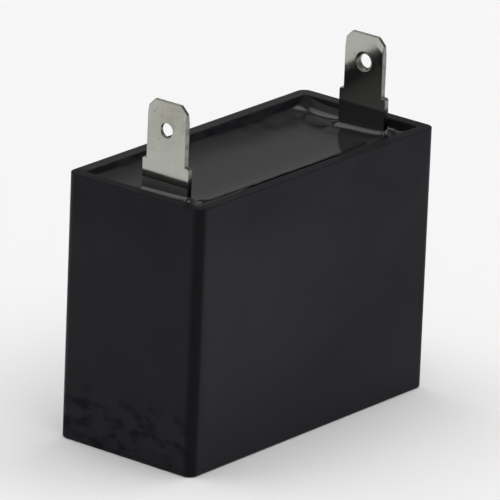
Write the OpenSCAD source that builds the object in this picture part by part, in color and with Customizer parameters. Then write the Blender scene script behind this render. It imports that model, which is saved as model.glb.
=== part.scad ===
// Box film capacitor: a flattened film winding with zinc-sprayed ends, soldered to two
// quick-connect tabs and potted in an open-topped plastic case.
// The origin is at the centre of the base, +Z is up and +X runs along the case.

/* [Case] */
// Length of the case
case_l = 48; // [40:0.5:60]
// Width of the case
case_w = 22; // [18:0.5:30]
// Height of the case
case_h = 35.9; // [30:0.1:45]
// Thickness of the side walls
wall = 1.65; // [1.2:0.05:2.2]
// Thickness of the floor
floor_t = 1.5; // [1:0.1:2.5]
// Radius of the upright outer edges
corner_r = 1.3; // [0.8:0.1:2.5]
// Radius of the upright inner edges
inner_corner_r = 0.5; // [0.3:0.1:1]
// Rounding of the rim's outer edge
rim_r = 0.25; // [0.1:0.05:0.5]
// Rounding of the base's outer edge
base_r = 0.3; // [0.1:0.05:0.6]

/* [Potting resin] */
// Depth of the resin surface below the rim, at the middle of the case
resin_drop = 1.9; // [1.6:0.05:2.6]
// Slope of the resin surface, which rises towards the front wall, in degrees
resin_tilt = 2.3; // [0:0.1:3]
// Slope of the resin surface, which rises towards the left end, in degrees
resin_lean = 0.7; // [0:0.1:1.5]
// Radius of the curve where the resin creeps up the walls
creep_r = 2.6; // [2.4:0.1:5]
// Height that the resin creeps up the walls
creep_h = 0.9; // [0.6:0.05:1.2]
// Radius of the curve where the resin creeps up the tabs
collar_r = 0.8; // [0.5:0.1:1.1]
// Height of the rim above the highest resin, in the corners
rim_gap = 0.05; // [0.05:0.05:0.3]

/* [Film winding] */
// Resin between the winding and each long wall
side_gap = 1.8; // [1:0.1:3]
// Resin between the winding and the floor
base_gap = 2; // [1:0.1:4]
// Resin over the winding, at the middle of the case
top_cover = 3; // [2.2:0.05:6]

/* [End contacts] */
// Thickness of the zinc sprayed on each end of the winding
spray_t = 0.6; // [0.3:0.1:1.2]
// Radius of each solder joint
solder_r = 4.5; // [3:0.1:5]
// Solder over the outer face of the tab's leg
solder_cover = 0.5; // [0.2:0.1:1]

/* [Tabs] */
// Thickness of the tab's sheet
tab_t = 0.8; // [0.5:0.1:1]
// Width of the blade
blade_w = 6.3; // [4.8:0.1:8]
// Length of the blade, from its shoulders to its tip
blade_l = 8; // [6:0.1:10]
// Height of the tip above the rim
tab_rise = 11.5; // [9:0.1:15]
// Resin between each tab and the end wall
end_gap = 1.95; // [1.2:0.05:4]
// Distance of the tabs from the middle of the case, towards the back wall
tab_shift = -2.1; // [-3:0.1:3]
// Width of the shoulder on each side of the blade
shoulder_step = 0.65; // [0.4:0.05:1]
// Rounding of the shoulders' outer corners
shoulder_r = 0.35; // [0.1:0.05:0.6]
// Chamfer across the corners of the tip
tip_chamfer = 1; // [0.5:0.1:2]
// Length of the bevels round the tip
bevel_l = 0.9; // [0.4:0.1:1.5]
// Depth of the bevels on each face of the tip
bevel_t = 0.2; // [0.1:0.05:0.22]
// Diameter of the hole through the blade
hole_d = 1.9; // [1.4:0.1:2.4]
// Distance from the tip to the centre of the hole
hole_from_tip = 3.75; // [3:0.05:5]
// Width of the rounded lip round the hole, on the face towards the other tab
lip = 0.3; // [0.1:0.05:0.5]
// Width of the leg that runs down the end of the winding
leg_w = 5; // [3:0.1:6]
// Length of the leg below the top of the winding
leg_reach = 13; // [8:0.5:18]

/* [Hidden] */
$fn = 64;
// Facets on the large, shallow rounds
fine = 256;
// Cutters run this far past the faces that they cut
past = 1;
// Inside of the case
inner_l = case_l - 2 * wall;
inner_w = case_w - 2 * wall;
// Resin surface: its level, the depth that the tab collars start at, and how far from the walls it is flat
resin_z = case_h - resin_drop;
collar_sink = collar_r / 10;
creep_in = sqrt(2 * creep_r * creep_h - creep_h * creep_h);
// The round corners of the surface lie this far outside the curves along the walls
web_out = creep_r / 20;
// Stack along the case, from the end wall inwards: tab, zinc layer, winding
tab_x = inner_l / 2 - end_gap - tab_t;
film_w = 2 * (tab_x - spray_t);
// Winding
winding_w = inner_w - 2 * side_gap;
winding_z0 = floor_t + base_gap;
winding_z1 = resin_z - top_cover;
// Tab heights
tip_z = case_h + tab_rise;
shoulder_z = tip_z - blade_l;
shoulder_w = blade_w + 2 * shoulder_step;
leg_top_z = winding_z1 + spray_t;
leg_end_z = winding_z1 - leg_reach;
// Solder joint: a low dome over the end of the leg
solder_h = tab_t + solder_cover;
solder_z = leg_end_z + leg_w / 2;
solder_sphere_r = (solder_r * solder_r + solder_h * solder_h) / (2 * solder_h);

// Rectangle about the origin with round corners
module round_rect(l, w, r) {
    square([l - 2 * r, w], center = true);
    square([l, w - 2 * r], center = true);
    for (x = [-1, 1], y = [-1, 1])
        translate([x * (l / 2 - r), y * (w / 2 - r)]) circle(r);
}

// Carries a 2D edge section all round a rectangle: revolved at the corners, straight along the sides.
// l and w are the sides of the inner rectangle that the section's axis runs along.
module sweep_round(l, w) {
    for (x = [-1, 1], y = [-1, 1])
        translate([x * l / 2, y * w / 2])
            mirror([x < 0 ? 1 : 0, 0]) mirror([0, y < 0 ? 1 : 0])
                rotate_extrude(angle = 90) children();
    for (y = [-1, 1])
        mirror([0, y < 0 ? 1 : 0]) translate([-l / 2, w / 2])
            rotate([90, 0, 90]) linear_extrude(l) children();
    for (x = [-1, 1])
        mirror([x < 0 ? 1 : 0, 0]) translate([l / 2, w / 2])
            rotate([90, 0, 0]) linear_extrude(w) children();
}

// Upright section of the case's edge, with rounded rim and base
module case_edge() {
    translate([0, base_r]) square([corner_r, case_h - base_r - rim_r]);
    square([corner_r - base_r, base_r]);
    translate([0, case_h - rim_r]) square([corner_r - rim_r, rim_r]);
    translate([corner_r - base_r, base_r]) circle(base_r);
    translate([corner_r - rim_r, case_h - rim_r]) circle(rim_r);
}

module case() {
    core_l = case_l - 2 * corner_r;
    core_w = case_w - 2 * corner_r;
    color([0.13, 0.13, 0.14]) difference() {
        union() {
            translate([-core_l / 2, -core_w / 2]) cube([core_l, core_w, case_h]);
            sweep_round(core_l, core_w) case_edge();
        }
        translate([0, 0, floor_t]) linear_extrude(case_h)
            round_rect(inner_l, inner_w, inner_corner_r);
    }
}

// Places its children on the sloping resin surface
module on_surface() {
    translate([0, 0, resin_z]) rotate([-resin_tilt, resin_lean, 0]) children();
}

// Section of the air over the resin, which curves up to two facing walls that stand w apart
module air_section(w) {
    translate([0, 2 * creep_r])
        round_rect(w + 2 * (creep_r - creep_in), 4 * creep_r, creep_r, $fn = fine);
}

// The air over the resin
module air() {
    intersection() {
        rotate([90, 0, 90]) linear_extrude(2 * inner_l, center = true) air_section(inner_w);
        rotate([90, 0, 0]) linear_extrude(2 * inner_w, center = true) air_section(inner_l);
    }
}

// Resin that curves up into one upright corner of the case
module corner_web() {
    translate([inner_l / 2 - creep_in + web_out, inner_w / 2 - creep_in + web_out]) difference() {
        translate([0, 0, -past]) cube([creep_r, creep_r, creep_r + past]);
        translate([0, 0, creep_r]) sphere(creep_r, $fn = fine);
    }
}

// Resin drawn up round one tab
module collar() {
    translate([tab_x, tab_shift - shoulder_w / 2, -collar_sink]) {
        cube([tab_t, shoulder_w, collar_r]);
        translate([tab_t / 2, shoulder_w / 2]) sweep_round(tab_t, shoulder_w) difference() {
            square(collar_r);
            translate([collar_r, collar_r]) circle(collar_r);
        }
    }
}

module potting_resin() {
    color([0.07, 0.07, 0.075]) difference() {
        union() {
            difference() {
                translate([0, 0, floor_t]) linear_extrude(case_h - floor_t - rim_gap)
                    round_rect(inner_l, inner_w, inner_corner_r);
                on_surface() difference() {
                    air();
                    both_ends() both_sides() corner_web();
                }
            }
            on_surface() both_ends() collar();
        }
        film_winding();
        both_ends() {
            end_spray();
            solder_dome();
            tab_blank();
        }
    }
}

// Draws its children at the right end and, mirrored, at the left end
module both_ends() {
    children();
    mirror([1, 0, 0]) children();
}

// Draws its children at the back and, mirrored, at the front
module both_sides() {
    children();
    mirror([0, 1, 0]) children();
}

// Cross-section of the flattened roll
module winding_section() {
    h = winding_z1 - winding_z0;
    r = winding_w / 2;
    translate([0, winding_z0 + h / 2]) {
        square([winding_w, h - winding_w], center = true);
        for (z = [-1, 1]) translate([0, z * (h / 2 - r)]) circle(r);
    }
}

// Draws a section that lies across the case, from x, over a length l along the case
module along_case(x, l) {
    translate([x, 0, 0]) rotate([90, 0, 90]) linear_extrude(l) children();
}

module film_winding() {
    color([0.78, 0.79, 0.8]) along_case(-film_w / 2, film_w) winding_section();
}

module end_spray() {
    color([0.55, 0.56, 0.58]) along_case(film_w / 2, spray_t) winding_section();
}

module end_spray_left() {
    mirror([1, 0, 0]) end_spray();
}

module end_spray_right() {
    end_spray();
}

// Outline of the stamped tab, seen along the case
module tab_outline() {
    translate([-blade_w / 2, shoulder_z - shoulder_step]) polygon([
        [0, 0], [blade_w, 0],
        [blade_w, blade_l + shoulder_step - tip_chamfer], [blade_w - tip_chamfer, blade_l + shoulder_step],
        [tip_chamfer, blade_l + shoulder_step], [0, blade_l + shoulder_step - tip_chamfer]]);
    // Wide part, with round shoulders
    wide_h = shoulder_z - leg_top_z;
    translate([-shoulder_w / 2, leg_top_z]) square([shoulder_w, wide_h - shoulder_r]);
    translate([shoulder_r - shoulder_w / 2, leg_top_z]) square([shoulder_w - 2 * shoulder_r, wide_h]);
    for (y = [-1, 1])
        translate([y * (shoulder_w / 2 - shoulder_r), shoulder_z - shoulder_r]) circle(shoulder_r);
    // Leg, with a round end
    leg_l = leg_top_z - leg_end_z - leg_w / 2;
    translate([-leg_w / 2, leg_end_z + leg_w / 2]) square([leg_w, leg_l + past / 2]);
    translate([0, leg_end_z + leg_w / 2]) circle(leg_w / 2);
}

// Wedges that bevel both faces of the sheet along one straight edge of the tip
module tip_bevel() {
    for (side = [0, 1])
        translate([side * tab_t, 0, 0]) mirror([side, 0, 0])
            rotate([90, 0, 0]) linear_extrude(2 * blade_w, center = true)
                polygon([[-past, past], [-past, -bevel_l], [0, -bevel_l], [bevel_t, 0], [bevel_t, past]]);
}

// Solid tab at the right end, without its hole
module tab_blank() {
    translate([tab_x, tab_shift, 0]) difference() {
        rotate([90, 0, 90]) linear_extrude(tab_t) tab_outline();
        translate([0, 0, tip_z]) tip_bevel();
        for (side = [-1, 1])
            translate([0, side * (blade_w - tip_chamfer) / 2, tip_z - tip_chamfer / 2])
                rotate([-45 * side, 0, 0]) tip_bevel();
    }
}

module tab() {
    color([0.8, 0.8, 0.76]) difference() {
        tab_blank();
        translate([tab_x, tab_shift, tip_z - hole_from_tip]) rotate([0, 90, 0]) {
            translate([0, 0, -past]) cylinder(d = hole_d, h = tab_t + 2 * past);
            // Lip on the face towards the other tab
            cylinder(d1 = hole_d + 2 * lip, d2 = hole_d, h = lip);
        }
    }
}

module tab_left() {
    mirror([1, 0, 0]) tab();
}

module tab_right() {
    tab();
}

// Dome of solder on the zinc layer, without the leg that it holds
module solder_dome() {
    translate([tab_x, tab_shift, solder_z]) rotate([0, 90, 0]) rotate_extrude() intersection() {
        translate([0, solder_h - solder_sphere_r]) circle(solder_sphere_r, $fn = fine);
        square([solder_r, solder_h]);
    }
}

module solder() {
    color([0.66, 0.66, 0.68]) difference() {
        solder_dome();
        tab_blank();
    }
}

module solder_left() {
    mirror([1, 0, 0]) solder();
}

module solder_right() {
    solder();
}

case();
potting_resin();
film_winding();
end_spray_left();
end_spray_right();
solder_left();
solder_right();
tab_left();
tab_right();
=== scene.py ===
"""Box film capacitor: looks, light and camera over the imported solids.

The case, the potting resin and the two tabs get refined meshes, the parts sealed in the resin keep
their solids, and every piece gets a procedural finish. All sizes are in metres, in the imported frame.
"""

import logging
import math
from dataclasses import dataclass, field
from enum import Enum

import bmesh
import bpy
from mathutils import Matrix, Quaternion, Vector, noise


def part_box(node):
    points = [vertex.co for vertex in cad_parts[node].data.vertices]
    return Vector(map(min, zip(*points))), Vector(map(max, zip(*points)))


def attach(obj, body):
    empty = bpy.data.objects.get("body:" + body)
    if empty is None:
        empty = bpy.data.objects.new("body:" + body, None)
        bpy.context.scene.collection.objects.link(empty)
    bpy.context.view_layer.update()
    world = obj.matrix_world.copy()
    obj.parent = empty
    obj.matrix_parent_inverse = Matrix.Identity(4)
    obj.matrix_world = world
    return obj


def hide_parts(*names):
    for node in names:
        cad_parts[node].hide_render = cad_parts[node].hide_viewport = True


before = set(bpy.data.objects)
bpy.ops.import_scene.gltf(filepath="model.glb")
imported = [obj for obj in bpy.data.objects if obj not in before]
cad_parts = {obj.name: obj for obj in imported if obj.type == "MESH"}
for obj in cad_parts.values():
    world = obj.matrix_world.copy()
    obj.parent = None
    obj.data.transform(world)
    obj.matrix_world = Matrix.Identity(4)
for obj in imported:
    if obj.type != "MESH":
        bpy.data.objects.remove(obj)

MM = 0.001
SAME_HEIGHT = 1e-7
WHITE = (1.0, 1.0, 1.0, 1.0)
BODY = "root"
log = logging.getLogger("film_capacitor")

Source = bpy.types.NodeSocket | float | tuple[float, ...]
Colour = tuple[float, float, float, float]
Span = tuple[float, float]
Triple = tuple[float, float, float]


class Slot(Enum):
    """Names of material slots for the refined pieces; the script does not use them."""

    CASE = "case"
    RESIN = "resin"
    TAB = "tab"


class End(Enum):
    """The two ends of the case."""

    LEFT = "left"
    RIGHT = "right"


@dataclass(frozen=True)
class Ramp:
    """A smooth change along one axis of the object, between two places in millimetres."""

    axis: str
    start: float
    end: float
    low: float = 0.0
    high: float = 1.0


class Nodes:
    """Places and wires the nodes of one shader tree."""

    def __init__(self, tree: bpy.types.NodeTree) -> None:
        """Keeps the tree that the nodes go into."""
        self.tree = tree

    def add(self, kind: str, **settings: object) -> bpy.types.Node:
        """Adds one node.

        Args:
            kind: Blender's name of the node type.
            settings: Properties of the node and their values.

        Returns:
            The new node.
        """
        node = self.tree.nodes.new(kind)
        for name, value in settings.items():
            setattr(node, name, value)
        return node

    def feed(self, socket: bpy.types.NodeSocket, source: Source) -> None:
        """Links a socket to its source, or sets it where the source is a plain value.

        Args:
            socket: The input to feed.
            source: An output socket, a number or a tuple of numbers.
        """
        if isinstance(source, bpy.types.NodeSocket):
            self.tree.links.new(source, socket)
        else:
            socket.default_value = source

    def object_coordinates(self) -> bpy.types.NodeSocket:
        """Returns the Object coordinates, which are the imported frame's own metres."""
        return self.add("ShaderNodeTexCoord").outputs["Object"]

    def math(self, operation: str, first: Source, second: Source = 0.0) -> bpy.types.NodeSocket:
        """Does arithmetic on one or two values.

        Args:
            operation: Blender's name of the operation.
            first: The first value.
            second: The second value, where the operation has one.

        Returns:
            The result.
        """
        node = self.add("ShaderNodeMath", operation=operation)
        self.feed(node.inputs[0], first)
        self.feed(node.inputs[1], second)
        return node.outputs[0]

    def split(self, vector: Source) -> bpy.types.NodeOutputs:
        """Returns the X, Y and Z of coordinates."""
        node = self.add("ShaderNodeSeparateXYZ")
        self.feed(node.inputs[0], vector)
        return node.outputs

    def ramp(self, value: Source, start: Source, end: Source, low: float = 0.0,
             high: float = 1.0) -> bpy.types.NodeSocket:
        """Maps a value smoothly from one range to another and holds it at the ends.

        Args:
            value: The value to map.
            start: The value that gives low.
            end: The value that gives high.
            low: Result at the start.
            high: Result at the end.

        Returns:
            The mapped value.
        """
        node = self.add("ShaderNodeMapRange", interpolation_type="SMOOTHSTEP")
        for name, source in (("Value", value), ("From Min", start), ("From Max", end),
                             ("To Min", low), ("To Max", high)):
            self.feed(node.inputs[name], source)
        return node.outputs["Result"]

    def mix(self, factor: Source, first: Source, second: Source) -> bpy.types.NodeSocket:
        """Mixes two colours.

        Args:
            factor: Share of the second colour.
            first: The colour at factor 0.
            second: The colour at factor 1.

        Returns:
            The mixed colour.
        """
        node = self.add("ShaderNodeMix", data_type="RGBA")
        self.feed(node.inputs["Factor"], factor)
        colours = [s for s in node.inputs if s.type == "RGBA"]
        self.feed(colours[0], first)
        self.feed(colours[1], second)
        return next(s for s in node.outputs if s.type == "RGBA")

    def stretch(self, vector: Source, scale: Triple) -> bpy.types.NodeSocket:
        """Scales coordinates along each axis.

        Args:
            vector: The coordinates.
            scale: Factor along each axis.

        Returns:
            The scaled coordinates.
        """
        node = self.add("ShaderNodeMapping", vector_type="POINT")
        self.feed(node.inputs["Vector"], vector)
        node.inputs["Scale"].default_value = scale
        return node.outputs["Vector"]

    def near_point(self, vector: Source, point: Vector, radius: float) -> bpy.types.NodeSocket:
        """Masks a small round place on a piece.

        Args:
            vector: The piece's Object coordinates.
            point: Centre of the place.
            radius: Its radius.

        Returns:
            A mask that falls from 1 at the centre to 0 at the radius.
        """
        node = self.add("ShaderNodeVectorMath", operation="DISTANCE")
        self.feed(node.inputs[0], vector)
        node.inputs[1].default_value = point
        return self.ramp(node.outputs["Value"], 0.0, radius, 1.0, 0.0)

    def fade(self, place: bpy.types.NodeOutputs, ramps: tuple[Ramp, ...]) -> bpy.types.NodeSocket:
        """Masks a part of a piece.

        Args:
            place: X, Y and Z of the Object coordinates.
            ramps: What bounds the part.

        Returns:
            The product of the ramps.
        """
        mask = None
        for each in ramps:
            step = self.ramp(place[each.axis], each.start * MM, each.end * MM, each.low, each.high)
            mask = self.math("MULTIPLY", mask, step) if mask else step
        return mask

    def bump(self, height: Source, strength: float, distance: float,
             base: bpy.types.NodeSocket | None = None) -> bpy.types.NodeSocket:
        """Turns heights into a bent normal.

        Args:
            height: Height over the surface.
            strength: Share of the bump that shows.
            distance: Height in metres that 1 stands for.
            base: The normal to bend, where it isn't the surface's own.

        Returns:
            The normal.
        """
        node = self.add("ShaderNodeBump")
        if base:
            self.feed(node.inputs["Normal"], base)
        node.inputs["Strength"].default_value = strength
        node.inputs["Distance"].default_value = distance
        self.feed(node.inputs["Height"], height)
        return node.outputs["Normal"]


class SharedEffect:
    """A shader node group that is built once and placed in each finish with its own values."""

    name = "effect"
    values: tuple[tuple[str, float], ...] = ()
    result = "Mask"

    def wire(self, nodes: Nodes, inputs: bpy.types.NodeOutputs) -> bpy.types.NodeSocket:
        """Builds the inside of the group.

        Args:
            nodes: Builder for the group's tree.
            inputs: The group's inputs.

        Returns:
            The socket that the group puts out.
        """
        raise NotImplementedError

    def tree(self) -> bpy.types.NodeTree:
        """Returns the group's tree, which the first call builds."""
        ready = bpy.data.node_groups.get(self.name)
        if ready:
            return ready
        tree = bpy.data.node_groups.new(self.name, "ShaderNodeTree")
        tree.interface.new_socket("Vector", in_out="INPUT", socket_type="NodeSocketVector")
        for label, value in self.values:
            socket = tree.interface.new_socket(label, in_out="INPUT", socket_type="NodeSocketFloat")
            socket.default_value = value
        tree.interface.new_socket(self.result, in_out="OUTPUT", socket_type="NodeSocketFloat")
        nodes = Nodes(tree)
        made = self.wire(nodes, nodes.add("NodeGroupInput").outputs)
        nodes.feed(nodes.add("NodeGroupOutput").inputs[self.result], made)
        return tree

    def place(self, nodes: Nodes, vector: Source, **values: float) -> bpy.types.NodeSocket:
        """Places the group in a finish.

        Args:
            nodes: Builder for the material's tree.
            vector: Coordinates that the effect reads.
            values: The effect's values, by input name.

        Returns:
            What the group puts out.
        """
        node = nodes.add("ShaderNodeGroup", node_tree=self.tree())
        nodes.feed(node.inputs["Vector"], vector)
        for label, value in values.items():
            nodes.feed(node.inputs[label], value)
        return node.outputs[self.result]


class Blotches(SharedEffect):
    """Soft cloudy patches, for smudges and uneven gloss."""

    name = "soft_blotches"
    values = (("Scale", 100.0), ("Low", 0.4), ("High", 0.6))
    detail = 4.0
    roughness = 0.55

    def wire(self, nodes: Nodes, inputs: bpy.types.NodeOutputs) -> bpy.types.NodeSocket:
        """Cuts clouds out of layered noise (see SharedEffect)."""
        cloud = nodes.add("ShaderNodeTexNoise", noise_dimensions="3D")
        cloud.inputs["Detail"].default_value = self.detail
        cloud.inputs["Roughness"].default_value = self.roughness
        nodes.feed(cloud.inputs["Vector"], inputs["Vector"])
        nodes.feed(cloud.inputs["Scale"], inputs["Scale"])
        return nodes.ramp(cloud.outputs["Fac"], inputs["Low"], inputs["High"])


class Specks(SharedEffect):
    """Scattered small round spots, for dust, pits and plating flaws."""

    name = "scattered_specks"
    values = (("Scale", 1000.0), ("Radius", 0.2), ("Share", 0.1))
    core = 0.4

    def wire(self, nodes: Nodes, inputs: bpy.types.NodeOutputs) -> bpy.types.NodeSocket:
        """Keeps a share of the cells of a cell pattern and draws a dot in each (see SharedEffect)."""
        cells = nodes.add("ShaderNodeTexVoronoi", voronoi_dimensions="3D", feature="F1")
        nodes.feed(cells.inputs["Vector"], inputs["Vector"])
        nodes.feed(cells.inputs["Scale"], inputs["Scale"])
        pick = nodes.add("ShaderNodeSeparateColor")
        nodes.feed(pick.inputs["Color"], cells.outputs["Color"])
        kept = nodes.math("LESS_THAN", pick.outputs["Red"], inputs["Share"])
        reach = nodes.math("MULTIPLY", inputs["Radius"], pick.outputs["Green"])
        dot = nodes.ramp(cells.outputs["Distance"], reach, nodes.math("MULTIPLY", reach, self.core))
        return nodes.math("MULTIPLY", dot, kept)


class Grain(SharedEffect):
    """Fine irregular relief, for moulded plastic, zinc spray and rolled sheet."""

    name = "fine_grain"
    values = (("Scale", 5000.0),)
    result = "Height"
    detail = 3.0

    def wire(self, nodes: Nodes, inputs: bpy.types.NodeOutputs) -> bpy.types.NodeSocket:
        """Gives plain noise as a height (see SharedEffect)."""
        relief = nodes.add("ShaderNodeTexNoise", noise_dimensions="3D")
        relief.inputs["Detail"].default_value = self.detail
        nodes.feed(relief.inputs["Vector"], inputs["Vector"])
        nodes.feed(relief.inputs["Scale"], inputs["Scale"])
        return relief.outputs["Fac"]


BLOTCHES = Blotches()
SPECKS = Specks()
GRAIN = Grain()


@dataclass(frozen=True)
class Finish:
    """A material made of nodes round one shader; each kind of finish fills in its own pattern."""

    name: str
    specular: float = 0.5

    def pattern(self, nodes: Nodes, shader: bpy.types.Node, where: bpy.types.NodeSocket) -> None:
        """Wires the finish's pattern into the shader.

        Args:
            nodes: Builder for the material's tree.
            shader: The Principled shader.
            where: Object coordinates.
        """
        raise NotImplementedError

    def material(self) -> bpy.types.Material:
        """Returns the material, which the first call builds."""
        ready = bpy.data.materials.get(self.name)
        if ready:
            return ready
        made = bpy.data.materials.new(self.name)
        made.use_nodes = True
        shader = made.node_tree.nodes["Principled BSDF"]
        shader.inputs["Specular IOR Level"].default_value = self.specular
        nodes = Nodes(made.node_tree)
        self.pattern(nodes, shader, nodes.object_coordinates())
        return made

    def dress(self, piece: bpy.types.Object) -> None:
        """Puts the finish on all of a piece."""
        piece.data.materials.clear()
        piece.data.materials.append(self.material())


@dataclass(frozen=True)
class MouldedPlastic(Finish):
    """Satin black moulded plastic with cloudy gloss, smudges and two small marks; a lighter spot on the
    sides, sheen on the rim and light on the inside walls are painted light.
    """

    specular: float = 0.095
    plastic: Colour = (0.0068, 0.0068, 0.0108, 1.0)
    smudged: Colour = (0.0082, 0.0082, 0.0100, 1.0)
    dusty: Colour = (0.0108, 0.0108, 0.0148, 1.0)
    scuffed: Colour = (0.0260, 0.0260, 0.0290, 1.0)
    # Painted highlight on the rim, lightest along the far rim
    painted_rim_sheen: Colour = (0.0260, 0.0260, 0.0285, 1.0)
    # Painted light on the sides; also the lighter streaks on the inside walls
    painted_light_tone: Colour = (0.0185, 0.0185, 0.0226, 1.0)
    # Darker tone on the near and left rim and on the near corner edge
    darker_tone: Colour = (0.0040, 0.0040, 0.0056, 1.0)
    # Painted light on the inside walls, which are painted far lighter than the outside
    painted_inner_light: Colour = (0.0520, 0.0520, 0.0560, 1.0)
    inside: Span = (22.37 * MM, 9.37 * MM)
    smear_stretch: Triple = (1.0, 0.6, 1.0)
    streak_stretch: Triple = (0.25, 0.25, 1.0)
    # Where the painted light spot and the painted light low on the sides, smears, the rim, its painted
    # sheen and the darker near corner lie
    painted_light_spot: tuple[Ramp, ...] = (Ramp("X", 20.0, -20.0), Ramp("X", -23.4, -21.0, 0.45),
                              Ramp("Z", 2.0, 14.0, 0.60), Ramp("Z", 35.0, 26.0, 0.35))
    painted_light_low: tuple[Ramp, ...] = (Ramp("Z", 16.0, 3.0, 0.0, 0.65),)
    smear: tuple[Ramp, ...] = (Ramp("Z", 9.5, 6.0), Ramp("X", -23.70, -23.95))
    rim: tuple[Ramp, ...] = (Ramp("Z", 35.74, 35.88),)
    painted_sheen_part: tuple[Ramp, ...] = (Ramp("Y", -9.0, 9.0, 0.3), Ramp("X", -23.2, -21.0))
    near_edge: tuple[Ramp, ...] = (Ramp("X", -22.4, -23.3), Ramp("Y", -9.4, -10.3))
    nick: Vector = field(default_factory=lambda: Vector((-24.0, -9.32, 34.7)) * MM)
    nick_r: float = 0.75 * MM
    fleck: Vector = field(default_factory=lambda: Vector((11.9, -11.0, 32.85)) * MM)
    fleck_r: float = 0.28 * MM
    mark_depth: float = 3.0
    roughness: Span = (0.40, 0.50)
    rougher_smear: float = 0.35
    rougher_mark: float = 0.10
    smoother_darker: float = 0.10
    grain_share: float = 0.25
    grain_h: float = 0.004 * MM

    def marks(self, nodes: Nodes, where: bpy.types.NodeSocket) -> bpy.types.NodeSocket:
        """Masks the torn nick at the left end and the fleck on the long side.

        Args:
            nodes: Builder for the material's tree.
            where: Object coordinates.

        Returns:
            The mask.
        """
        torn = BLOTCHES.place(nodes, where, Scale=1500.0, Low=0.45, High=0.65)
        nick = nodes.math("MULTIPLY", nodes.near_point(where, self.nick, self.nick_r), torn)
        return nodes.math("MAXIMUM", nick, nodes.near_point(where, self.fleck, self.fleck_r))

    def cavity(self, nodes: Nodes, place: bpy.types.NodeOutputs) -> bpy.types.NodeSocket:
        """Masks the inside of the case.

        Args:
            nodes: Builder for the material's tree.
            place: X, Y and Z of the Object coordinates.

        Returns:
            The mask.
        """
        return nodes.math("MULTIPLY", *(
            nodes.math("LESS_THAN", nodes.math("ABSOLUTE", place[axis]), limit)
            for axis, limit in zip("XY", self.inside)))

    def pattern(self, nodes: Nodes, shader: bpy.types.Node, where: bpy.types.NodeSocket) -> None:
        """Wires clouds, painted light, smudges, marks, the rim's painted sheen and darker parts, and grain
        (see Finish).
        """
        place = nodes.split(where)
        clouds = BLOTCHES.place(nodes, where, Scale=130.0, Low=0.35, High=0.7)
        colour = nodes.mix(clouds, self.plastic, self.dusty)
        # Painted light: the sides are lighter at mid height towards the left end, and lighter towards the
        # bottom
        painted_light_spot = nodes.math("MAXIMUM", nodes.fade(place, self.painted_light_spot), nodes.fade(place, self.painted_light_low))
        colour = nodes.mix(painted_light_spot, colour, self.painted_light_tone)
        smears = BLOTCHES.place(nodes, nodes.stretch(where, self.smear_stretch),
                                Scale=620.0, Low=0.45, High=0.66)
        smears = nodes.math("MULTIPLY", smears, nodes.fade(place, self.smear))
        colour = nodes.mix(smears, colour, self.smudged)
        marks = self.marks(nodes, where)
        colour = nodes.mix(marks, colour, self.scuffed)
        rim = nodes.fade(place, self.rim)
        # Painted highlight: the rim's sheen, lightest at the far rim and left off the left rim
        painted_rim_sheen = nodes.math("MULTIPLY", rim, nodes.fade(place, self.painted_sheen_part))
        colour = nodes.mix(painted_rim_sheen, colour, self.painted_rim_sheen)
        # The near and left rim and the near corner edge get a darker, smoother tone
        darker_tone = nodes.math("MAXIMUM", nodes.fade(place, self.near_edge),
                           nodes.math("SUBTRACT", rim, painted_rim_sheen))
        colour = nodes.mix(darker_tone, colour, self.darker_tone)
        dust = SPECKS.place(nodes, where, Scale=700.0, Radius=0.16, Share=0.05)
        colour = nodes.mix(dust, colour, self.dusty)
        streaks = BLOTCHES.place(nodes, nodes.stretch(where, self.streak_stretch),
                                 Scale=900.0, Low=0.3, High=0.7)
        # Painted light: the inside walls are far lighter than the outside, with darker streaks
        inner = nodes.mix(streaks, self.painted_inner_light, self.painted_light_tone)
        nodes.feed(shader.inputs["Base Color"], nodes.mix(self.cavity(nodes, place), colour, inner))
        gloss = BLOTCHES.place(nodes, where, Scale=60.0, Low=0.3, High=0.75)
        rough = nodes.ramp(gloss, 0.0, 1.0, *self.roughness)
        rough = nodes.math("SUBTRACT", rough, nodes.math("MULTIPLY", darker_tone, self.smoother_darker))
        dull = nodes.math("MAXIMUM", nodes.math("MULTIPLY", smears, self.rougher_smear),
                          nodes.math("MULTIPLY", marks, self.rougher_mark))
        nodes.feed(shader.inputs["Roughness"], nodes.math("ADD", rough, dull))
        relief = nodes.math("SUBTRACT", GRAIN.place(nodes, where, Scale=9000.0),
                            nodes.math("MULTIPLY", marks, self.mark_depth))
        nodes.feed(shader.inputs["Normal"], nodes.bump(relief, self.grain_share, self.grain_h))


@dataclass(frozen=True)
class CastResin(Finish):
    """Glossy black casting resin with a faint grey body, slow ripples and a little dust."""

    body: Colour = (0.0064, 0.0062, 0.0076, 1.0)
    cloudy: Colour = (0.0084, 0.0081, 0.0096, 1.0)
    dusty: Colour = (0.0500, 0.0500, 0.0500, 1.0)
    roughness: Span = (0.13, 0.17)
    rougher_dust: float = 0.3
    ripple_share: float = 0.2
    ripple_h: float = 0.02 * MM

    def pattern(self, nodes: Nodes, shader: bpy.types.Node, where: bpy.types.NodeSocket) -> None:
        """Wires the grey body, dust and ripples (see Finish)."""
        clouds = BLOTCHES.place(nodes, where, Scale=150.0, Low=0.35, High=0.7)
        dust = SPECKS.place(nodes, where, Scale=900.0, Radius=0.14, Share=0.05)
        colour = nodes.mix(clouds, self.body, self.cloudy)
        nodes.feed(shader.inputs["Base Color"], nodes.mix(dust, colour, self.dusty))
        rough = nodes.ramp(clouds, 0.0, 1.0, *self.roughness)
        rougher = nodes.math("MULTIPLY", dust, self.rougher_dust)
        nodes.feed(shader.inputs["Roughness"], nodes.math("ADD", rough, rougher))
        ripples = GRAIN.place(nodes, where, Scale=350.0)
        nodes.feed(shader.inputs["Normal"], nodes.bump(ripples, self.ripple_share, self.ripple_h))


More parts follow.
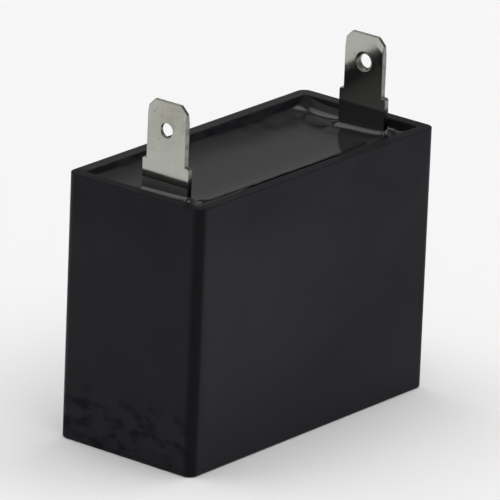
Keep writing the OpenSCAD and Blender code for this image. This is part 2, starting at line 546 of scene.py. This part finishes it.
@dataclass(frozen=True)
class TinPlate(Finish):
    """Tinned sheet with rolling lines, a stain, dark flecks and a slight bow; its foot is painted grey on
    the left tab and dark on the right, as painted reflection.
    """

    tin: Colour = (0.415, 0.415, 0.380, 1.0)
    dull: Colour = (0.345, 0.345, 0.315, 1.0)
    stained: Colour = (0.300, 0.300, 0.250, 1.0)
    fleck: Colour = (0.200, 0.196, 0.175, 1.0)
    # Painted reflection at the tabs' feet: grey and partly not metal on the left tab, dark on the right
    painted_grey_foot: Colour = (0.350, 0.350, 0.370, 1.0)
    painted_dark_foot: Colour = (0.155, 0.148, 0.154, 1.0)
    painted_foot_metal: float = 0.70
    painted_foot_top: Span = (36.8 * MM, 37.7 * MM)
    painted_foot_blur: float = 0.15 * MM
    # Which tab is the right one, and where flecks lie
    right: tuple[Ramp, ...] = (Ramp("X", -1.0, 1.0),)
    flecked: tuple[Ramp, ...] = (Ramp("Z", 39.0, 43.0),)
    stain: Vector = field(default_factory=lambda: Vector((-20.4, -3.6, 45.2)) * MM)
    stain_r: float = 4.6 * MM
    patch_share: float = 0.55
    line_share: float = 0.3
    line_stretch: Triple = (1.0, 1.0, 0.06)
    fleck_stretch: Triple = (1.0, 1.0, 0.55)
    bow: Span = (0.036, 0.058)
    roughness: Span = (0.10, 0.13)
    rougher_fleck: float = 0.05
    fleck_depth: float = 0.8
    grain_share: float = 0.3
    grain_h: float = 0.012 * MM

    def plating(self, nodes: Nodes, where: bpy.types.NodeSocket,
                patches: bpy.types.NodeSocket) -> bpy.types.NodeSocket:
        """Colours the bare tin, with dull patches, rolling lines along the tab and a stain.

        Args:
            nodes: Builder for the material's tree.
            where: Object coordinates.
            patches: Mask of the dull patches.

        Returns:
            The colour.
        """
        lines = BLOTCHES.place(nodes, nodes.stretch(where, self.line_stretch),
                               Scale=2200.0, Low=0.5, High=0.75)
        mottled = BLOTCHES.place(nodes, where, Scale=900.0, Low=0.25, High=0.7)
        stain = nodes.math("MULTIPLY", nodes.near_point(where, self.stain, self.stain_r), mottled)
        colour = nodes.mix(nodes.math("MULTIPLY", patches, self.patch_share), self.tin, self.dull)
        colour = nodes.mix(nodes.math("MULTIPLY", lines, self.line_share), colour, self.dull)
        return nodes.mix(stain, colour, self.stained)

    def pattern(self, nodes: Nodes, shader: bpy.types.Node, where: bpy.types.NodeSocket) -> None:
        """Wires plating, the painted reflection at the foot, flecks and bow (see Finish)."""
        place = nodes.split(where)
        # Painted reflection: below a height the left tab's foot turns grey and partly not metal, the right
        # tab's foot dark
        right = nodes.fade(place, self.right)
        above = nodes.math("SUBTRACT", place["Z"], nodes.ramp(right, 0.0, 1.0, *self.painted_foot_top))
        foot = nodes.ramp(above, -self.painted_foot_blur, self.painted_foot_blur, 1.0, 0.0)
        dark_foot = nodes.math("MULTIPLY", foot, right)
        grey_foot = nodes.math("SUBTRACT", foot, dark_foot)
        nodes.feed(shader.inputs["Metallic"], nodes.ramp(grey_foot, 0.0, 1.0, 1.0, self.painted_foot_metal))
        patches = BLOTCHES.place(nodes, where, Scale=330.0, Low=0.4, High=0.7)
        flecks = SPECKS.place(nodes, nodes.stretch(where, self.fleck_stretch),
                              Scale=2300.0, Radius=0.32, Share=0.22)
        flecks = nodes.math("MULTIPLY", flecks, nodes.fade(place, self.flecked))
        colour = nodes.mix(grey_foot, self.plating(nodes, where, patches), self.painted_grey_foot)
        colour = nodes.mix(dark_foot, colour, self.painted_dark_foot)
        nodes.feed(shader.inputs["Base Color"], nodes.mix(flecks, colour, self.fleck))
        rough = nodes.ramp(patches, 0.0, 1.0, *self.roughness)
        rougher = nodes.math("MULTIPLY", flecks, self.rougher_fleck)
        nodes.feed(shader.inputs["Roughness"], nodes.math("ADD", rough, rougher))
        bow = nodes.ramp(right, 0.0, 1.0, *self.bow)
        bowed = nodes.bump(nodes.math("MULTIPLY", place["Z"], bow), 1.0, 1.0)
        relief = nodes.math("SUBTRACT", GRAIN.place(nodes, where, Scale=700.0),
                            nodes.math("MULTIPLY", flecks, self.fleck_depth))
        nodes.feed(shader.inputs["Normal"], nodes.bump(relief, self.grain_share, self.grain_h, bowed))


@dataclass(frozen=True)
class PunchedEdge(Finish):
    """Cut edge of the tinned sheet: darker and rougher than its faces, with painted shade at its foot."""

    tin: Colour = (0.270, 0.268, 0.245, 1.0)
    torn: Colour = (0.150, 0.147, 0.135, 1.0)
    # Painted shade at the foot of the edges
    painted_foot_shade: Colour = (0.055, 0.053, 0.055, 1.0)
    foot: tuple[Ramp, ...] = (Ramp("Z", 38.3, 37.7),)
    roughness: Span = (0.30, 0.42)
    streak_stretch: Triple = (0.3, 1.0, 1.0)
    streak_share: float = 0.4
    streak_h: float = 0.02 * MM

    def pattern(self, nodes: Nodes, shader: bpy.types.Node, where: bpy.types.NodeSocket) -> None:
        """Wires the streaks that the punch leaves across the sheet, and the painted shade at the foot (see
        Finish).
        """
        shader.inputs["Metallic"].default_value = 1.0
        foot = nodes.fade(nodes.split(where), self.foot)
        streaks = BLOTCHES.place(nodes, nodes.stretch(where, self.streak_stretch),
                                 Scale=1600.0, Low=0.45, High=0.75)
        # Painted shade: the edges turn dark near their foot
        colour = nodes.mix(foot, nodes.mix(streaks, self.tin, self.torn), self.painted_foot_shade)
        nodes.feed(shader.inputs["Base Color"], colour)
        nodes.feed(shader.inputs["Roughness"], nodes.ramp(streaks, 0.0, 1.0, *self.roughness))
        nodes.feed(shader.inputs["Normal"], nodes.bump(streaks, self.streak_share, self.streak_h))


@dataclass(frozen=True)
class MetallisedFilm(Finish):
    """Aluminium-coated plastic film, wound so that its turns show as fine rings."""

    film: Colour = (0.62, 0.63, 0.65, 1.0)
    edge: Colour = (0.42, 0.43, 0.46, 1.0)
    metal: float = 0.8
    roughness: Span = (0.22, 0.36)
    turn_stretch: Triple = (0.01, 1.0, 1.0)
    wrinkle_stretch: Triple = (0.15, 1.0, 1.0)
    wrinkle_share: float = 0.3
    wrinkle_h: float = 0.02 * MM

    def pattern(self, nodes: Nodes, shader: bpy.types.Node, where: bpy.types.NodeSocket) -> None:
        """Wires the fine lines of the turns (see Finish)."""
        shader.inputs["Metallic"].default_value = self.metal
        turns = GRAIN.place(nodes, nodes.stretch(where, self.turn_stretch), Scale=6000.0)
        wrinkles = BLOTCHES.place(nodes, nodes.stretch(where, self.wrinkle_stretch),
                                  Scale=500.0, Low=0.4, High=0.65)
        nodes.feed(shader.inputs["Base Color"], nodes.mix(turns, self.edge, self.film))
        nodes.feed(shader.inputs["Roughness"], nodes.ramp(wrinkles, 0.0, 1.0, *self.roughness))
        nodes.feed(shader.inputs["Normal"], nodes.bump(wrinkles, self.wrinkle_share, self.wrinkle_h))


@dataclass(frozen=True)
class SprayedZinc(Finish):
    """Matt, granular zinc as it comes from a spray gun."""

    zinc: Colour = (0.33, 0.34, 0.36, 1.0)
    pore: Colour = (0.16, 0.165, 0.175, 1.0)
    metal: float = 0.7
    roughness: Span = (0.6, 0.8)
    grain_range: Span = (0.3, 0.7)
    pore_depth: float = 0.6
    grain_share: float = 0.7
    grain_h: float = 0.06 * MM

    def pattern(self, nodes: Nodes, shader: bpy.types.Node, where: bpy.types.NodeSocket) -> None:
        """Wires grains and pores (see Finish)."""
        shader.inputs["Metallic"].default_value = self.metal
        grains = GRAIN.place(nodes, where, Scale=3500.0)
        pores = SPECKS.place(nodes, where, Scale=2600.0, Radius=0.5, Share=0.35)
        nodes.feed(shader.inputs["Base Color"], nodes.mix(pores, self.zinc, self.pore))
        nodes.feed(shader.inputs["Roughness"], nodes.ramp(grains, *self.grain_range, *self.roughness))
        relief = nodes.math("SUBTRACT", grains, nodes.math("MULTIPLY", pores, self.pore_depth))
        nodes.feed(shader.inputs["Normal"], nodes.bump(relief, self.grain_share, self.grain_h))


@dataclass(frozen=True)
class SolderMetal(Finish):
    """Bright solder that set with a slightly frosted skin."""

    bright: Colour = (0.60, 0.60, 0.59, 1.0)
    frosted: Colour = (0.44, 0.44, 0.45, 1.0)
    roughness: Span = (0.18, 0.42)
    frost_share: float = 0.3
    frost_h: float = 0.015 * MM

    def pattern(self, nodes: Nodes, shader: bpy.types.Node, where: bpy.types.NodeSocket) -> None:
        """Wires frosted patches (see Finish)."""
        shader.inputs["Metallic"].default_value = 1.0
        frost = BLOTCHES.place(nodes, where, Scale=700.0, Low=0.42, High=0.62)
        nodes.feed(shader.inputs["Base Color"], nodes.mix(frost, self.bright, self.frosted))
        nodes.feed(shader.inputs["Roughness"], nodes.ramp(frost, 0.0, 1.0, *self.roughness))
        nodes.feed(shader.inputs["Normal"], nodes.bump(frost, self.frost_share, self.frost_h))


CASE_PLASTIC = MouldedPlastic("moulded_plastic")
CAST_RESIN = CastResin("cast_resin")
TIN_PLATE = TinPlate("tin_plate")
PUNCHED_EDGE = PunchedEdge("punched_edge")
METALLISED_FILM = MetallisedFilm("metallised_film")
SPRAYED_ZINC = SprayedZinc("sprayed_zinc")
SOLDER_METAL = SolderMetal("solder_metal")


def finish_piece(name: str, shape: bmesh.types.BMesh, node: str,
                 finish: Finish) -> bpy.types.Object:
    """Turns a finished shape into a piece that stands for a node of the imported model.

    Args:
        name: Name of the piece.
        shape: Its shape, which is freed.
        node: The node that it stands for.
        finish: The finish it gets.

    Returns:
        The piece.
    """
    mesh = bpy.data.meshes.new(name)
    for face in shape.faces:
        face.smooth = True
    shape.to_mesh(mesh)
    shape.free()
    piece = bpy.data.objects.new(name, mesh)
    bpy.context.scene.collection.objects.link(piece)
    finish.dress(piece)
    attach(piece, BODY)
    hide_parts(node)
    log.info("%s: %d faces, stands for %s", name, len(mesh.polygons), node)
    return piece


def keep_flats_flat(piece: bpy.types.Object) -> None:
    """Lets the large faces of a piece with rounded edges keep their own normals."""
    even = piece.modifiers.new("flat_faces", "WEIGHTED_NORMAL")
    even.mode = "FACE_AREA"
    even.weight = 100
    even.keep_sharp = True


@dataclass
class MouldedCase:
    """Open-topped box with rounded upright edges and softened rim and base."""

    low: Vector
    high: Vector
    wall: float = 1.65 * MM
    floor_t: float = 1.5 * MM
    corner_r: float = 1.3 * MM
    inner_corner_r: float = 0.5 * MM
    rim_r: float = 0.09 * MM
    inner_rim_r: float = 0.12 * MM
    base_r: float = 0.3 * MM
    arc_steps: int = 12
    edge_steps: int = 4
    sharp: float = math.radians(45.0)

    def block(self, shape: bmesh.types.BMesh, low: Vector, high: Vector,
              radius: float) -> list[bmesh.types.BMVert]:
        """Adds a block with rounded upright edges.

        Args:
            shape: The mesh that it goes into.
            low: Its lowest corner.
            high: Its highest corner.
            radius: Radius of the upright edges.

        Returns:
            The block's vertices.
        """
        before = set(shape.verts)
        made = bmesh.ops.create_cube(shape, size=1.0)["verts"]
        bmesh.ops.scale(shape, vec=high - low, verts=made)
        bmesh.ops.translate(shape, vec=(low + high) / 2, verts=made)
        upright = {e for v in made for e in v.link_edges
                   if abs(e.verts[0].co.z - e.verts[1].co.z) > (high.z - low.z) / 2}
        bmesh.ops.bevel(shape, geom=list(upright), offset=radius, offset_type="OFFSET",
                        segments=self.arc_steps, profile=0.5, affect="EDGES", material=-1)
        return [v for v in shape.verts if v not in before]

    def soften(self, shape: bmesh.types.BMesh, height: float, radius: float, inside: bool) -> None:
        """Rounds one level edge all round the case.

        Args:
            shape: The case so far.
            height: Height of the edge.
            radius: Radius of its rounding.
            inside: Whether it is the edge of the cavity.
        """
        mid_wall = Vector((self.high.x - self.wall / 2, self.high.y - self.wall / 2))
        edge = [e for e in shape.edges
                if all(abs(v.co.z - height) < SAME_HEIGHT for v in e.verts)
                and e.calc_face_angle(0.0) > self.sharp
                and all((abs(v.co.x) < mid_wall.x and abs(v.co.y) < mid_wall.y) == inside for v in e.verts)]
        bmesh.ops.bevel(shape, geom=edge, offset=radius, offset_type="OFFSET",
                        segments=self.edge_steps, profile=0.5, affect="EDGES", material=-1)

    def build(self) -> bpy.types.Object:
        """Models the case as an outer and an inner block that meet at the rim.

        Returns:
            The piece.
        """
        shape = bmesh.new()
        self.block(shape, self.low, self.high, self.corner_r)
        inset = Vector((self.wall, self.wall, 0.0))
        raised = self.low + inset + Vector((0.0, 0.0, self.floor_t))
        cavity = self.block(shape, raised, self.high - inset, self.inner_corner_r)
        hollow = {f for v in cavity for f in v.link_faces}
        bmesh.ops.reverse_faces(shape, faces=list(hollow))
        lids = [f for f in shape.faces if all(abs(v.co.z - self.high.z) < SAME_HEIGHT for v in f.verts)]
        bmesh.ops.delete(shape, geom=lids, context="FACES_ONLY")
        bmesh.ops.bridge_loops(shape, edges=[e for e in shape.edges if e.is_boundary])
        bmesh.ops.recalc_face_normals(shape, faces=shape.faces)
        self.soften(shape, self.high.z, self.rim_r, inside=False)
        self.soften(shape, self.high.z, self.inner_rim_r, inside=True)
        self.soften(shape, self.low.z, self.base_r, inside=False)
        piece = finish_piece("case_shell", shape, "case", CASE_PLASTIC)
        keep_flats_flat(piece)
        return piece


@dataclass(frozen=True)
class Creep:
    """What a wall, a corner or a tab adds: how much at its face, and over what distance it dies away."""

    climb: float
    reach: float

    def at(self, away: float) -> float:
        """Returns what is left of the climb at a distance."""
        return self.climb * math.exp(-away / self.reach)


@dataclass
class ResinFill:
    """Casting resin that fills the case: its surface leans, and creeps up the walls, corners and tabs."""

    half_l: float = 22.35 * MM
    half_w: float = 9.35 * MM
    corner_r: float = 0.5 * MM
    bottom: float = 1.5 * MM
    rim: float = 35.9 * MM
    rim_gap: float = 0.06 * MM
    level: float = 34.10 * MM
    lean_x: float = 0.012
    lean_y: float = 0.030
    near: Creep = Creep(1.70 * MM, 1.60 * MM)
    far: Creep = Creep(0.95 * MM, 1.55 * MM)
    left: Creep = Creep(0.30 * MM, 0.80 * MM)
    right: Creep = Creep(1.30 * MM, 0.45 * MM)
    # Towards the far corners the climbs grow by these shares, and the ends reach further
    side_gain: Creep = Creep(1.25, 1.00 * MM)
    end_gain: Creep = Creep(0.80, 2.00 * MM)
    end_spread: Creep = Creep(1.30 * MM, 1.50 * MM)
    # A high power makes the sheets from a side and an end meet in a crease
    crease: float = 2.5
    # The climb is a little uneven: by what share, over what length, and where in the noise
    uneven: float = 0.04
    uneven_cell: float = 2.8 * MM
    uneven_at: float = 3.7
    collar: Creep = Creep(0.70 * MM, 0.62 * MM)
    left_channel: Creep = Creep(0.45 * MM, 1.00 * MM)
    right_channel: Creep = Creep(0.30 * MM, 0.70 * MM)
    tab_x: Span = (19.6 * MM, 20.4 * MM)
    tab_y: Span = (-5.9 * MM, 1.7 * MM)
    # Inward of a tab the end wall's creep has to come round it: a step in from its side counts as this many
    held_back: float = 2.0
    soft_stop: float = 0.10 * MM
    # The sheet's cells, and how strongly they gather at the walls
    cell: float = 0.14 * MM
    gather: float = 1.5
    # The gap at the near wall: its width, where it opens and closes, how far in the sheet moves, unevenness
    gap: float = 0.42 * MM
    gap_x: tuple[float, float, float, float] = (-14.5 * MM, -11.5 * MM, 5.0 * MM, 10.0 * MM)
    gap_fade: float = 1.5 * MM
    gap_uneven: float = 0.3
    gap_cell: float = 2.2 * MM
    gap_at: float = 8.1

    def plane(self, x: float, y: float) -> float:
        """Returns the height of the leaning resin away from the walls and the tabs."""
        return self.level - self.lean_x * x - self.lean_y * y

    def walls(self, x: float, y: float) -> float:
        """Gives how far the walls and corners draw the resin up.

        Args:
            x: Place along the case.
            y: Place across the case.

        Returns:
            The rise at that place.
        """
        to_end = max(self.half_l - abs(x), 0.0)
        to_near = max(self.half_w + y, 0.0)
        to_far = max(self.half_w - y, 0.0)
        within_tab = max(min(y - self.tab_y[0], self.tab_y[1] - y), 0.0)
        from_end = to_end + (self.held_back * within_tab if abs(x) < self.tab_x[0] else 0.0)
        side = self.near.at(to_near) * (1.0 + self.lean_x * x / self.near.climb)
        side += self.far.at(to_far) * (1.0 + self.side_gain.at(to_end))
        creep = self.left if x < 0 else self.right
        end = Creep(creep.climb * (1.0 + self.end_gain.at(to_far)),
                    creep.reach + self.end_spread.at(to_far)).at(from_end)
        rise = math.hypot(side ** self.crease, end ** self.crease) ** (1.0 / self.crease)
        where = Vector((x / self.uneven_cell, y / self.uneven_cell, self.uneven_at))
        return rise * (1.0 + self.uneven * noise.noise(where))

    def tabs(self, x: float, y: float) -> float:
        """Gives how far the tabs, and the channels behind them, draw the resin up.

        Args:
            x: Place along the case.
            y: Place across the case.

        Returns:
            The rise at that place.
        """
        off_x = max(self.tab_x[0] - abs(x), abs(x) - self.tab_x[1], 0.0)
        off_y = max(self.tab_y[0] - y, y - self.tab_y[1], 0.0)
        rise = self.collar.at(math.hypot(off_x, off_y))
        outside = max(self.tab_x[1] - abs(x), 0.0)
        if off_y == 0.0 and abs(x) < self.tab_x[0]:
            return rise
        channel = self.left_channel if x < 0 else self.right_channel
        return rise + channel.at(math.hypot(outside, off_y))

    def surface(self, x: float, y: float) -> float:
        """Gives the height of the resin at one place, which stops softly just below the rim.

        Args:
            x: Place along the case.
            y: Place across the case.

        Returns:
            The height above the base of the case.
        """
        height = self.plane(x, y) + self.walls(x, y) + self.tabs(x, y)
        over = (height - self.rim + self.rim_gap) / self.soft_stop
        return height - self.soft_stop * math.log1p(math.exp(over))

    def shrink(self, x: float, y: float) -> float:
        """Gives how far the top of the resin has shrunk away from the middle of the near wall.

        Args:
            x: Place along the case.
            y: Place across the case.

        Returns:
            The shift at that place.
        """
        start, full, last, end = self.gap_x
        opening = min(max((x - start) / (full - start), 0.0), 1.0)
        closing = min(max((end - x) / (end - last), 0.0), 1.0)
        fade = max(1.0 - (self.half_w + y) / self.gap_fade, 0.0)
        uneven = 1.0 + self.gap_uneven * noise.noise(Vector((x / self.gap_cell, 0.0, self.gap_at)))
        return self.gap * opening * closing * fade * uneven

    def spread(self, place: float, half: float) -> float:
        """Moves a place on an even scale from -1 to 1 towards the walls, where the surface bends most.

        Args:
            place: Place on the even scale.
            half: Half the size of the sheet in this direction.

        Returns:
            The place in metres.
        """
        return math.copysign(half * (1.0 - (1.0 - min(abs(place), 1.0)) ** self.gather), place)

    def round_corner(self, place: Vector) -> Vector:
        """Moves a place of the square-cornered sheet to the sheet with round corners.

        Args:
            place: Place on the square-cornered sheet.

        Returns:
            The moved place.
        """
        over_x = max(abs(place.x) - (self.half_l - self.corner_r), 0.0) / self.corner_r
        over_y = max(abs(place.y) - (self.half_w - self.corner_r), 0.0) / self.corner_r
        shift_x = over_x * (1.0 - math.sqrt(1.0 - over_y * over_y / 2)) * self.corner_r
        shift_y = over_y * (1.0 - math.sqrt(1.0 - over_x * over_x / 2)) * self.corner_r
        return Vector((place.x - math.copysign(shift_x, place.x),
                       place.y - math.copysign(shift_y, place.y), 0.0))

    def build(self) -> bpy.types.Object:
        """Models the resin as a fine sheet shaped to its surface, drawn down to the floor of the case.

        Returns:
            The piece.
        """
        shape = bmesh.new()
        bmesh.ops.create_grid(shape, x_segments=round(2 * self.half_l / self.cell),
                              y_segments=round(2 * self.half_w / self.cell), size=1.0)
        for vert in shape.verts:
            vert.co = self.round_corner(Vector((self.spread(vert.co.x, self.half_l),
                                                self.spread(vert.co.y, self.half_w), 0.0)))
            vert.co.z = self.surface(vert.co.x, vert.co.y)
        sheet = list(shape.verts)
        border = [e for e in shape.edges if e.is_boundary]
        drawn = bmesh.ops.extrude_edge_only(shape, edges=border)["geom"]
        for vert in drawn:
            if isinstance(vert, bmesh.types.BMVert):
                vert.co.z = self.bottom
        for vert in sheet:
            vert.co.y += self.shrink(vert.co.x, vert.co.y)
        for edge in border:
            edge.smooth = False
        bmesh.ops.holes_fill(shape, edges=[e for e in shape.edges if e.is_boundary], sides=0)
        bmesh.ops.recalc_face_normals(shape, faces=shape.faces)
        return finish_piece("resin_fill", shape, "potting_resin", CAST_RESIN)


@dataclass
class StampedTab:
    """Quick-connect tab: the stamped sheet with its punched edges rolled a little."""

    end: End
    edge_r: float = 0.11 * MM
    edge_steps: int = 3
    merge: float = 1e-6
    level: float = math.radians(0.4)
    sharp: float = math.radians(28.0)
    face_on: float = 0.95

    def build(self) -> bpy.types.Object:
        """Models the tab from a merged copy of its solid, with rounded edges.

        Returns:
            The piece.
        """
        node = f"tab_{self.end.value}"
        shape = bmesh.new()
        shape.from_mesh(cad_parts[node].data)
        bmesh.ops.remove_doubles(shape, verts=shape.verts, dist=self.merge)
        bmesh.ops.dissolve_limit(shape, angle_limit=self.level, verts=shape.verts, edges=shape.edges)
        edges = [e for e in shape.edges if e.calc_face_angle(0.0) > self.sharp]
        bmesh.ops.bevel(shape, geom=edges, offset=self.edge_r, offset_type="OFFSET",
                        segments=self.edge_steps, profile=0.5, affect="EDGES", material=-1,
                        clamp_overlap=True)
        piece = finish_piece(f"tinned_tab_{self.end.value}", shape, node, TIN_PLATE)
        piece.data.materials.append(PUNCHED_EDGE.material())
        for face in piece.data.polygons:
            face.material_index = int(abs(face.normal.x) < self.face_on)
        keep_flats_flat(piece)
        return piece


@dataclass(frozen=True)
class SealedParts:
    """The parts that are sealed in the resin and keep their solids: winding, zinc layers and solder."""

    finishes: tuple[tuple[str, Finish], ...] = (
        ("film_winding", METALLISED_FILM),
        ("end_spray_left", SPRAYED_ZINC),
        ("end_spray_right", SPRAYED_ZINC),
        ("solder_left", SOLDER_METAL),
        ("solder_right", SOLDER_METAL),
    )

    def dress(self) -> None:
        """Puts a finish on each solid."""
        for node, finish in self.finishes:
            finish.dress(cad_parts[node])
            log.info("%s: keeps its solid, %s", node, finish.name)


@dataclass(frozen=True)
class SoftLight:
    """A wide, distant lamp, which may be left out of mirrored light; its width is in degrees."""

    name: str
    towards: Triple
    strength: float
    width: float
    mirrored: bool = True

    def build(self) -> None:
        """Adds the lamp, so that it shines from its direction onto the object."""
        lamp = bpy.data.lights.new(self.name, "SUN")
        lamp.energy = self.strength
        lamp.angle = math.radians(self.width)
        thing = bpy.data.objects.new(self.name, lamp)
        thing.rotation_mode = "QUATERNION"
        thing.rotation_quaternion = Vector(self.towards).to_track_quat("Z", "Y")
        thing.visible_glossy = self.mirrored
        bpy.context.scene.collection.objects.link(thing)


@dataclass(frozen=True)
class SoftBox:
    """A bright patch of the room, with a soft edge between two cosines of the angle from its middle."""

    towards: Triple
    glow: float
    edge: Span

    def wire(self, nodes: Nodes, direction: bpy.types.NodeSocket) -> bpy.types.NodeSocket:
        """Wires the patch.

        Args:
            nodes: Builder for the world's tree.
            direction: The direction looked in.

        Returns:
            The patch's glow in that direction.
        """
        facing = nodes.add("ShaderNodeVectorMath", operation="DOT_PRODUCT")
        nodes.feed(facing.inputs[0], direction)
        facing.inputs[1].default_value = Vector(self.towards).normalized()
        return nodes.ramp(facing.outputs["Value"], *self.edge, 0.0, self.glow)


@dataclass(frozen=True)
class Studio:
    """Pale floor, an even room with soft boxes, and one wide lamp."""

    floor_size: float = 6.0
    floor_colour: Colour = (0.97, 0.97, 0.97, 1.0)
    floor_roughness: float = 0.9
    room: float = 0.24
    boxes: tuple[SoftBox, ...] = (
        SoftBox((0.45, -0.05, 0.89), 1.7, (0.968, 0.992)),
        SoftBox((-0.10, 0.48, 0.87), 1.5, (0.90, 0.955)),
        SoftBox((-0.72, 0.56, 0.41), 0.27, (0.88, 0.97)),
    )
    lamps: tuple[SoftLight, ...] = (
        SoftLight("overhead", (0.16, -0.26, 1.0), 1.50, 75.0, mirrored=False),
    )

    def floor(self) -> None:
        """Lays the floor that the object stands on."""
        shape = bmesh.new()
        bmesh.ops.create_grid(shape, x_segments=1, y_segments=1, size=self.floor_size / 2)
        mesh = bpy.data.meshes.new("floor")
        shape.to_mesh(mesh)
        shape.free()
        floor = bpy.data.objects.new("floor", mesh)
        bpy.context.scene.collection.objects.link(floor)
        paper = bpy.data.materials.new("floor_paper")
        paper.use_nodes = True
        shader = paper.node_tree.nodes["Principled BSDF"]
        shader.inputs["Base Color"].default_value = self.floor_colour
        shader.inputs["Roughness"].default_value = self.floor_roughness
        shader.inputs["Specular IOR Level"].default_value = 0.0
        mesh.materials.append(paper)

    def surroundings(self) -> None:
        """Lights the room evenly, with the soft boxes."""
        world = bpy.data.worlds.new("room")
        bpy.context.scene.world = world
        world.use_nodes = True
        nodes = Nodes(world.node_tree)
        direction = nodes.add("ShaderNodeTexCoord").outputs["Generated"]
        glow = self.room
        for box in self.boxes:
            glow = nodes.math("ADD", box.wire(nodes, direction), glow)
        background = world.node_tree.nodes["Background"]
        nodes.feed(background.inputs["Strength"], glow)
        background.inputs["Color"].default_value = WHITE

    def build(self) -> None:
        """Sets up floor, room and lamps."""
        self.floor()
        self.surroundings()
        for lamp in self.lamps:
            lamp.build()
        bpy.context.scene.view_settings.view_transform = "Standard"


@dataclass(frozen=True)
class PhotoCamera:
    """Camera at the photograph's viewing angle: turns in degrees, lens and sensor in millimetres."""

    azimuth: float = -51.624
    elevation: float = 19.338
    roll: float = 2.300
    distance: float = 1.03673
    aim: Triple = (-0.332 * MM, -0.374 * MM, 22.297 * MM)
    lens: float = 579.92
    sensor: float = 36.0
    clip: Span = (0.01, 100.0)

    def build(self) -> None:
        """Adds the camera and makes it the scene's own."""
        turn, lift = math.radians(self.azimuth), math.radians(self.elevation)
        back = Vector((math.sin(turn) * math.cos(lift), -math.cos(turn) * math.cos(lift), math.sin(lift)))
        lens = bpy.data.cameras.new("photo_camera")
        lens.lens = self.lens
        lens.sensor_width = self.sensor
        lens.clip_start, lens.clip_end = self.clip
        camera = bpy.data.objects.new("photo_camera", lens)
        camera.location = Vector(self.aim) + back * self.distance
        camera.rotation_mode = "QUATERNION"
        tilt = Quaternion((0.0, 0.0, 1.0), math.radians(self.roll))
        camera.rotation_quaternion = (-back).to_track_quat("-Z", "Y") @ tilt
        bpy.context.scene.collection.objects.link(camera)
        bpy.context.scene.camera = camera


def main() -> None:
    """Builds the pieces, dresses them and sets up studio and camera."""
    logging.basicConfig(level=logging.INFO, format="%(name)s: %(message)s")
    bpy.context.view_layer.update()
    PhotoCamera().build()
    low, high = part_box("case")
    MouldedCase(low, high).build()
    ResinFill().build()
    for end in End:
        StampedTab(end).build()
    SealedParts().dress()
    Studio().build()


if __name__ == "__main__":
    main()
